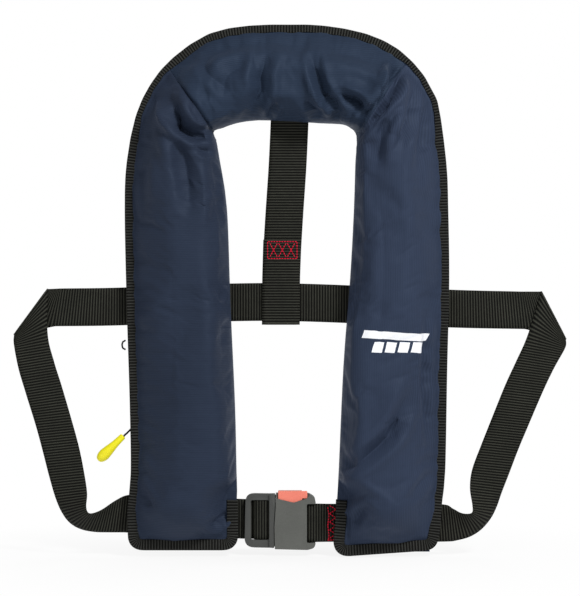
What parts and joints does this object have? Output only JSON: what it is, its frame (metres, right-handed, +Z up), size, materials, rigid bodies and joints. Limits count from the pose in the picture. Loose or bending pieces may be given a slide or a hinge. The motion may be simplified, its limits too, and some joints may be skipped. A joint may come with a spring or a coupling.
{
  "type": "inflatable life jacket",
  "caption": "Horseshoe inflatable life jacket with folded bladder, gas inflator with pull handle, oral tube, back strap, waist belt and push-button side-release buckle",
  "frame": {"origin": "centre of the width and depth, at the lowest edge of the jacket", "axes": "+X to the wearer's left along the width, +Y toward the wearer's back, +Z up along the jacket's height"},
  "size_m": [0.557, 0.0594, 0.5311],
  "materials": {
    "cover_cloth": "matt woven polyester",
    "binding_tape": "ribbed grosgrain",
    "belt_webbing": "ribbed webbing",
    "hook_and_loop": "napped",
    "bladder_cloth": "coated, satin",
    "loop_webbing": "woven",
    "inflator_plastic": "satin",
    "cylinder_steel": "satin",
    "small_steel": "bright",
    "gasket_rubber": "matt",
    "indicator_green": "gloss",
    "handle_plastic": "satin",
    "cord_black": "braided",
    "tube_rubber": "satin",
    "valve_plastic": "satin",
    "whistle_plastic": "gloss",
    "buckle_grey": "moulded satin",
    "frame_grey": "moulded satin",
    "button_red": "satin"
  },
  "bodies": {
    "jacket": {"cover_back_panel": "cover_cloth", "cover_collar_front": "cover_cloth", "back_panel_binding": "binding_tape", "collar_binding": "binding_tape", "hook_tape_right_upper": "hook_and_loop", "hook_tape_right_lower": "hook_and_loop", "hook_tape_left": "hook_and_loop", "bladder": "bladder_cloth", "inflator_body": "inflator_plastic", "cylinder_gasket": "gasket_rubber", "pin_spring": "small_steel", "lever_pivot_pin": "small_steel", "status_indicator": "indicator_green", "manifold_nut": "inflator_plastic", "lifting_loop": "loop_webbing", "edge_cord_loop": "cord_black", "oral_tube": "tube_rubber", "oral_valve": "valve_plastic", "whistle": "whistle_plastic", "whistle_cord": "loop_webbing", "belt_sleeve_right": "cover_cloth", "belt_sleeve_left": "cover_cloth", "strap_anchor_patch": "cover_cloth", "side_belt_right": "belt_webbing", "side_belt_left": "belt_webbing", "buckle_housing_front": "buckle_grey", "buckle_housing_rear": "buckle_grey", "button_spring": "small_steel"},
    "right_flap": {"cover_front_right": "cover_cloth", "binding_front_right": "binding_tape", "loop_tape_right_upper": "hook_and_loop", "loop_tape_right_lower": "hook_and_loop"},
    "left_flap": {"cover_front_left": "cover_cloth", "binding_front_left": "binding_tape", "loop_tape_left": "hook_and_loop"},
    "harness": {"back_strap": "belt_webbing", "rear_belt": "belt_webbing"},
    "buckle_male": {"buckle_male_half": "frame_grey", "adjuster_strap": "belt_webbing"},
    "button": {"release_button": "button_red"},
    "pull": {"pull_handle": "handle_plastic", "pull_cord": "cord_black"},
    "lever": {"firing_lever": "inflator_plastic"},
    "pin": {"piercing_pin": "small_steel"},
    "tube_cap": {"oral_tube_cap": "inflator_plastic"},
    "cylinder": {"gas_cylinder": "cylinder_steel"}
  },
  "joints": [
    {"name": "right_flap_open", "type": "hinge", "parent": "jacket", "child": "right_flap", "pos_m": [-0.0518, 0.01595, 0.2], "axis": [0, 0, 1], "range_deg": [0, 80]},
    {"name": "left_flap_open", "type": "hinge", "parent": "jacket", "child": "left_flap", "pos_m": [0.0434, 0.01595, 0.2], "axis": [0, 0, -1], "range_deg": [0, 80]},
    {"name": "harness_swing", "type": "hinge", "parent": "jacket", "child": "harness", "pos_m": [0, 0.01895, 0.436], "axis": [1, 0, 0], "range_deg": [0, 25]},
    {"name": "buckle_slide", "type": "slide", "parent": "jacket", "child": "buckle_male", "axis": [-1, 0, 0], "range_m": [0, 0.03]},
    {"name": "button_press", "type": "slide", "parent": "jacket", "child": "button", "axis": [0, 0, -1], "range_m": [0, 0.003], "stiffness_N_per_m": 400, "springref_m": -0.003, "deforming": ["button_spring"]},
    {"name": "pull_slide", "type": "slide", "parent": "jacket", "child": "pull", "axis": [-0.7156, 0, -0.6985], "range_m": [0, 0.015]},
    {"name": "lever_turn", "type": "hinge", "parent": "jacket", "child": "lever", "pos_m": [-0.11, 0.00395, 0.142], "axis": [0, -1, 0], "range_deg": [0, 50]},
    {"name": "pin_rise", "type": "slide", "parent": "jacket", "child": "pin", "axis": [0, 0, 1], "range_m": [0, 0.004], "deforming": ["pin_spring"]},
    {"name": "cap_pull", "type": "slide", "parent": "jacket", "child": "tube_cap", "axis": [0, 0, 1], "range_m": [0, 0.015]},
    {"name": "cylinder_unscrew", "type": "hinge", "parent": "jacket", "child": "cylinder", "pos_m": [-0.11, 0.00395, 0.24], "axis": [0, 0, 1], "range_deg": [0, 720]}
  ],
  "couplings": [
    {"joint": "lever_turn", "follows": "pull_slide", "rad_per_m": 58.178},
    {"joint": "pin_rise", "follows": "pull_slide", "ratio": 0.26667}
  ]
}
